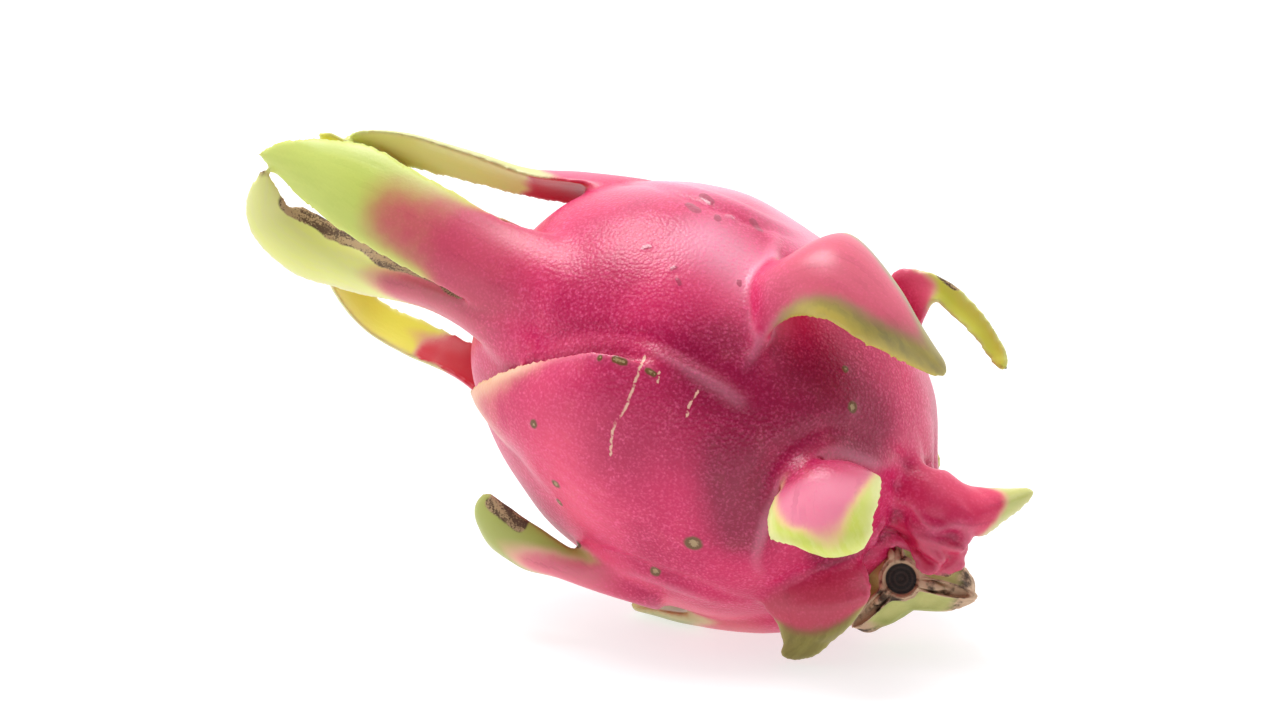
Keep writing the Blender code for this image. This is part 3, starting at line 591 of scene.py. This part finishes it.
stub = dict(
    place=(-1.2, 116, 34.7),        # middle of the cut face: percent along, degrees around, percent out
    aim=(0.18, -0.98, -0.013),      # the way it faces, in the fruit's own frame
    core=5.0, depth=13.0,           # millimetres
    wings=[(227, 16), (349, 17), (100, 12)], wingSpread=19,
    pith=3.7,                       # radius of the ringed wood in the middle
    # from the cut face back: share of the depth, size and spread of the wings, fullness of the core
    shares=[0, 0.06, 0.35, 0.7, 0.94, 1], size=[0.96, 1.0, 1.0, 0.95, 0.82, 0.72],
    spread=[0.5, 0.6, 1.6, 2.0, 2.1, 2.1], fullness=[1.0, 1.05, 1.5, 1.6, 1.45, 1.3],
    sides=300, faceRings=46, flankRings=50)


def makeStub():
    turned, place = restPose()
    along, around, out = stub["place"]
    centre = placeRound(np.array(along / 100 * fruit["length"]), math.radians(around), out / 100 * fruit["radius"])
    centre = centre @ turned.T + place
    aim = unit(np.array(stub["aim"]) @ turned.T)
    right = unit(-np.cross(aim, (0, 0, 1)))
    upward = -np.cross(right, aim)
    turns = np.linspace(0, math.tau, stub["sides"], endpoint=False)

    def reach(size, spread, fullness=1.0):
        core = stub["core"] * fullness
        result = np.full(len(turns), core)
        for angle, length in stub["wings"]:
            off = np.degrees(np.abs((turns - math.radians(angle) + math.pi) % math.tau - math.pi))
            wing = np.exp(-(off / (stub["wingSpread"] * spread)) ** 2)
            result = np.maximum(result, core + (length * size - core) * wing)
        return result

    rows, cut, radial = [], [], []
    rim = reach(stub["size"][0], stub["spread"][0])
    for share in np.linspace(0, 1, stub["faceRings"])[1:]:  # across the cut face, from the middle out
        radius = rim * share
        sunk = -1.4 * ease(0.45, 0.75, share) * (1 - ease(0.9, 1.0, share)) * ease(6, 9, rim)
        ring = 0.5 * np.exp(-((radius - stub["pith"] - 0.5) / 0.45) ** 2) - 0.5 * (radius < stub["pith"])
        rows.append((radius, 0 * radius + sunk + ring))
        cut.append(1.0 + 0 * radius)
        radial.append(radius)
    for share in np.linspace(0, 1, stub["flankRings"])[1:]:
        now = [np.interp(share, stub["shares"], stub[key]) for key in ("size", "spread", "fullness")]
        rows.append((reach(*now), -stub["depth"] * share + 0 * turns))
        cut.append(1 - ease(0.0, 0.07, share) + 0 * turns)
        radial.append(rows[-1][0])
    grid = np.array([centre + (right * (r * np.cos(turns))[:, None] + upward * (r * np.sin(turns))[:, None]
                               + aim * h[:, None]) * mm for r, h in rows])
    cut, radial = np.array(cut), np.array(radial)
    outward = facingOut(grid)
    if outward is not grid:
        cut, radial = cut[:, ::-1], radial[:, ::-1]
    mesh = closedMesh("stub", [outward])
    cut = np.append(cut.ravel(), [1, 0])
    radial = np.append(radial.ravel(), [0, 8])
    points = readPoints(mesh)
    normals = normalsOf(mesh, points)
    gnarl = 0.45 * mm * ripple(points, 3.2 * mm, 21) + 0.25 * mm * ripple(points, 1.3 * mm, 22)
    worn = np.maximum(cut * ease(3.6, 4.6, radial), ease(12, 15, radial))
    points = points + normals * (gnarl * (0.12 + 0.88 * worn))[:, None]
    points[:, 2] = np.maximum(points[:, 2], 0.3 * mm)
    mesh.vertices.foreach_set("co", points.ravel())
    mesh.update()
    mesh.shade_smooth()
    addAttribute(mesh, "cut", cut)
    addAttribute(mesh, "radial", radial)
    piece = bpy.data.objects.new("stemPiece", mesh)
    bpy.context.scene.collection.objects.link(piece)
    return piece


class Wire:  # a value socket that can be used in arithmetic
    def __init__(self, board, socket):
        self.board, self.socket = board, socket

    def work(self, operation, *values):
        return self.board.add("ShaderNodeMath", dict(operation=operation), dict(enumerate(values)))

    def __add__(self, other):
        return self.work("ADD", self, other)

    def __radd__(self, other):
        return self.work("ADD", other, self)

    def __sub__(self, other):
        return self.work("SUBTRACT", self, other)

    def __rsub__(self, other):
        return self.work("SUBTRACT", other, self)

    def __mul__(self, other):
        return self.work("MULTIPLY", self, other)

    def __rmul__(self, other):
        return self.work("MULTIPLY", other, self)


class Finish:  # a material or world, its node tree and the node that is fed
    def __init__(self, owner, node="Principled BSDF"):
        owner.use_nodes = True
        self.owner = owner
        self.tree = owner.node_tree
        self.surface = self.tree.nodes[node]

    def add(self, kind, settings=None, sockets=None, output=0):
        node = self.tree.nodes.new(kind)
        for key, value in (settings or {}).items():
            setattr(node, key, value)
        for key, value in (sockets or {}).items():
            self.feed(node.inputs[key], value)
        return Wire(self, node.outputs[output])

    def feed(self, socket, value):
        if isinstance(value, Wire):
            self.tree.links.new(value.socket, socket)
        else:
            socket.default_value = value

    def set(self, **values):
        for key, value in values.items():
            self.feed(self.surface.inputs[key.replace("_", " ")], value)

    def attribute(self, name, output="Fac"):
        return self.add("ShaderNodeAttribute", dict(attribute_name=name), output=output)

    def noise(self, where, scale, detail=2, rough=0.5):
        return self.add("ShaderNodeTexNoise", None,
                        dict(Vector=where, Scale=scale, Detail=detail, Roughness=rough))

    def cells(self, where, scale):  # distance from the nearest of evenly scattered dots
        return self.add("ShaderNodeTexVoronoi", None, dict(Vector=where, Scale=scale))

    def step(self, value, low, high):
        return self.add("ShaderNodeMapRange", dict(interpolation_type="SMOOTHSTEP"),
                        {"Value": value, "From Min": low, "From Max": high})

    def mix(self, factor, first, second):
        first, second = ((*hue, 1) if isinstance(hue, tuple) else hue for hue in (first, second))
        return self.add("ShaderNodeMix", dict(data_type="RGBA"), {0: factor, 6: first, 7: second}, output=2)


peel = dict(
    # The deep pink is the colour of painted shade, and also of the skin's darker streaks, wet spots and lump.
    pink=(0.48, 0.005, 0.078), shadeAndDeepPink=(0.29, 0.002, 0.046), bright=(0.66, 0.015, 0.115),
    # Below, the rosy pink is painted light and the pale pink is the colour of painted highlights.
    speck=(0.92, 0.13, 0.32), paintedLight=(0.90, 0.085, 0.19), paintedHighlight=(0.95, 0.46, 0.60), red=(0.62, 0.004, 0.035),
    dry=(0.10, 0.055, 0.03), bark=(0.42, 0.29, 0.15), scratch=(0.85, 0.50, 0.38), ring=(0.17, 0.08, 0.03),
    fleshScale=1500, dotScale=1250, gritScale=2200, roughness=0.34, specular=0.42, bump=0.28)


def peelFinish():
    f = Finish(bpy.data.materials.new("waxyPeel"))
    where = f.add("ShaderNodeTexCoord", output="Object")
    names = ("green", "edge", "dry", "inner", "paintedHighlight", "hollow", "lump", "red", "own")
    green, edge, dry, inner, paintedHighlight, hollow, lump, red, own = (f.attribute(name) for name in names)
    scratch, cork, drop, wet, paintedLight, shadeAndDeepPink, paintedSheen = (f.attribute(name) for name in marks)
    hues = ("rootHue", "blendHue", "leafHue", "rimHue", "insideAndGlowHue", "flow")
    rootHue, blendHue, leafHue, rimHue, insideAndGlowHue, flow = (f.attribute(name, "Vector") for name in hues)
    flesh = f.noise(where, peel["fleshScale"], 1)
    broad = f.noise(where, 40, 3)
    dots = f.cells(where, peel["dotScale"])
    grit = f.noise(where, peel["gritScale"], 3, 0.65)
    patch = f.noise(where, 160, 3, 0.6)
    along = f.add("ShaderNodeVectorMath", dict(operation="MULTIPLY"), {0: flow, 1: (60, 700, 0)})
    streak = f.noise(along, 1, 3)
    body = f.mix(f.step(broad, 0.35, 0.68), peel["pink"], peel["bright"])
    # Painted shade: darker pink where the shade marks lie, broken up by noise.
    body = f.mix(f.step(shadeAndDeepPink + (patch - 0.5) * 0.4, 0.1, 0.9), body, peel["shadeAndDeepPink"])
    # Painted shade in hollows and creases; the crumpled lump is darker too.
    body = f.mix(f.step(hollow, 0.05, 0.45) * 0.5 + lump * 0.3, body, peel["shadeAndDeepPink"])
    # Painted light: paler pink where light falls on the lower cheek and flank.
    body = f.mix(paintedLight * 0.8, body, peel["paintedLight"])
    # Painted highlight: paler over the highlight marks, on bulges and along raised lines.
    lit = paintedSheen * 0.6 + f.step(0 - hollow, 0.04, 0.40) * 0.2 + f.step(paintedHighlight, 0.15, 1.0) * 0.1
    body = f.mix(lit, body, peel["paintedHighlight"])
    body = f.mix(own * (1 - lump) * 0.85, body, rootHue)
    body = f.mix(f.step(streak, 0.5, 0.8) * own * 0.3, body, peel["shadeAndDeepPink"])
    speckle = 0.5 * f.step(flesh, 0.50, 0.68) + 0.5 * (1 - f.step(dots, 0.08, 0.52))
    # The speckle is thinned where shade is painted.
    speckle = speckle * (0.5 + 0.5 * f.step(patch, 0.3, 0.65)) * (1 - 0.6 * own) * (1 - 0.55 * shadeAndDeepPink)
    body = f.mix(speckle * 0.72, body, peel["speck"])  # fine pale speckle of the skin
    body = f.mix(inner * (1 - green) * 0.3, body, peel["red"])
    body = f.mix(red, body, peel["red"])
    leaf = f.mix(f.step(streak, 0.25, 0.8) * 0.35 + f.step(broad, 0.3, 0.7) * 0.2, leafHue, rimHue)
    # The inner face's yellow, partly painted glow standing for light through the thin blade.
    leaf = f.mix(inner * 0.85, leaf, insideAndGlowHue)
    colour = f.mix(f.step(green + (patch - 0.5) * 0.3, 0.0, 0.5), body, blendHue)
    colour = f.mix(f.step(green + (patch - 0.5) * 0.2, 0.25, 0.85), colour, leaf)
    colour = f.mix(edge * 0.8 * f.step(green, 0.0, 0.3), colour, rimHue)
    withered = f.mix(f.step(streak + (grit - 0.5), 0.4, 0.6), peel["dry"], peel["bark"])
    colour = f.mix(f.step(dry + 0.35 * (patch - 0.5), 0.3, 0.5), colour, withered)
    colour = f.mix(f.step(scratch + (grit - 0.5) * 0.4, 0.35, 0.65), colour, peel["scratch"])
    colour = f.mix(f.step(cork + (patch - 0.5) * 0.6, 0.2, 0.5), colour, peel["ring"])
    colour = f.mix(f.step(cork + (grit - 0.5) * 0.6, 0.65, 0.85), colour, peel["bark"])
    moist = f.step(wet + (patch - 0.5) * 0.8, 0.3, 0.6)
    colour = f.mix(moist * 0.7, colour, peel["shadeAndDeepPink"])
    f.set(Base_Color=colour, Roughness=peel["roughness"] + 0.16 * (grit - 0.5) + dry * 0.3)
    f.set(Coat_Weight=f.step(drop, 0.2, 0.5) + moist * 0.5, Coat_Roughness=0.08)
    f.set(Subsurface_Weight=0.10, Subsurface_Scale=0.0015, Subsurface_Radius=(1.0, 0.35, 0.25))
    f.set(Specular_IOR_Level=peel["specular"])
    height = (0.4 * grit - dots) * (1 - 0.85 * own) + 0.5 * streak * own
    bump = f.add("ShaderNodeBump", None, dict(Height=height, Distance=0.3 * mm, Strength=peel["bump"]))
    f.set(Normal=bump)
    return f.owner


wood = dict(
    ring=(0.030, 0.018, 0.014), pith=(0.006, 0.004, 0.003), cork=(0.62, 0.42, 0.27), dark=(0.07, 0.040, 0.022),
    green=(0.34, 0.37, 0.09), light=(0.58, 0.58, 0.20), ringTurn=5.5, bump=0.6)


def stemFinish():
    f = Finish(bpy.data.materials.new("driedStem"))
    where = f.add("ShaderNodeTexCoord", output="Object")
    cut, radial = f.attribute("cut"), f.attribute("radial")
    fine = f.noise(where, 900, 4, 0.65)
    rough = f.noise(where, 260, 4, 0.6)
    broad = f.noise(where, 90, 2)
    cork = f.mix(f.step(rough, 0.36, 0.54), wood["dark"], wood["cork"])
    ringed = f.add("ShaderNodeMath", dict(operation="SINE"), {0: radial * wood["ringTurn"]})
    core = f.mix(f.step(ringed, -0.4, 0.9), wood["pith"], wood["ring"])
    core = f.mix(f.step(radial, 3.3, 3.7), core, wood["cork"])
    face = f.mix(f.step(radial, 3.9, 4.4), core, cork)
    flank = f.mix(f.step(broad, 0.35, 0.65), wood["green"], wood["light"])
    worn = f.step(radial + 3 * rough, 12.5, 15.5)
    flank = f.mix(worn, flank, cork)
    colour = f.mix(f.step(cut, 0.35, 0.65), flank, face)
    f.set(Base_Color=colour, Roughness=0.55 + 0.25 * fine)
    bump = f.add("ShaderNodeBump", None, dict(Height=fine + rough, Distance=0.5 * mm, Strength=wood["bump"]))
    f.set(Normal=bump)
    return f.owner


view = dict(azimuth=math.radians(14), height=math.radians(12), lens=85, distance=689 * mm,
            right=-18.7 * mm, up=11.6 * mm)


def makeCamera(centre):
    turn, rise = view["azimuth"], view["height"]
    ahead = Vector((-math.sin(turn) * math.cos(rise), math.cos(turn) * math.cos(rise), -math.sin(rise)))
    right = Vector((math.cos(turn), math.sin(turn), 0))
    up = right.cross(ahead)
    aim = centre + right * view["right"] + up * view["up"]
    data = bpy.data.cameras.new("camera")
    data.lens = view["lens"]
    camera = bpy.data.objects.new("camera", data)
    camera.location = aim - ahead * view["distance"]
    camera.rotation_euler = ahead.to_track_quat("-Z", "Y").to_euler()
    bpy.context.scene.collection.objects.link(camera)
    bpy.context.scene.camera = camera


setting = dict(
    floorReach=4.0, floor=0.40, floorGlow=0.67,     # a lit table, which keeps the shadow soft
    bright=(0.1, 0.75, 0.65), dimmest=0.03, brightest=1.25,     # which side of the room is bright
    lamps=[("softBox", (-0.30, 0.05, 1.0), 30, 2.2), ("sideBox", (-1.0, -0.25, 0.22), 60, 1.0)])


def makeLamp(name, place, spread, power):  # shines from place to the middle, spread degrees wide
    data = bpy.data.lights.new(name, "SUN")
    data.energy, data.angle = power, math.radians(spread)
    lamp = bpy.data.objects.new(name, data)
    lamp.location = place
    lamp.rotation_euler = (-Vector(place)).to_track_quat("-Z", "Y").to_euler()
    bpy.context.scene.collection.objects.link(lamp)


def makeFloor():
    reach = setting["floorReach"]
    mesh = bpy.data.meshes.new("floor")
    corners = [(-reach, -reach, 0), (reach, -reach, 0), (reach, reach, 0), (-reach, reach, 0)]
    mesh.from_pydata(corners, [], [(0, 1, 2, 3)])
    floor = bpy.data.objects.new("floor", mesh)
    bpy.context.scene.collection.objects.link(floor)
    f = Finish(bpy.data.materials.new("paleFloor"))
    f.set(Base_Color=(*[setting["floor"]] * 3, 1), Roughness=0.7, Specular_IOR_Level=0.2)
    f.set(Emission_Color=(1, 1, 1, 1), Emission_Strength=setting["floorGlow"])
    mesh.materials.append(f.owner)


def makeRoom():
    f = Finish(bpy.data.worlds.new("softRoom"), "Background")
    spot = f.add("ShaderNodeTexCoord", output="Generated")
    facing = f.add("ShaderNodeVectorMath", dict(operation="DOT_PRODUCT"),
                   {0: spot, 1: setting["bright"]}, output="Value")
    light = f.add("ShaderNodeMapRange", dict(interpolation_type="SMOOTHSTEP"),
                  {"Value": facing, "From Min": -0.3, "From Max": 0.6,
                   "To Min": setting["dimmest"], "To Max": setting["brightest"]})
    f.set(Color=(1, 1, 1, 1), Strength=light)
    bpy.context.scene.world = f.owner
    for lamp in setting["lamps"]:
        makeLamp(*lamp)
    bpy.context.scene.view_settings.view_transform = "Standard"


skin = makeSkin()
skin.data.materials.append(peelFinish())
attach(skin, "root")
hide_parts("fruit")
print("peel and scales made")
stem = makeStub()
stem.data.materials.append(stemFinish())
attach(stem, "root")
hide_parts("stem_stub")
print("piece of stem made")
turned, place = restPose()
centre = Vector(turned @ np.array([0, 0, fruit["balance"] * fruit["length"]]) + place)
makeCamera(centre)
makeFloor()
makeRoom()
print("camera, floor and light set")
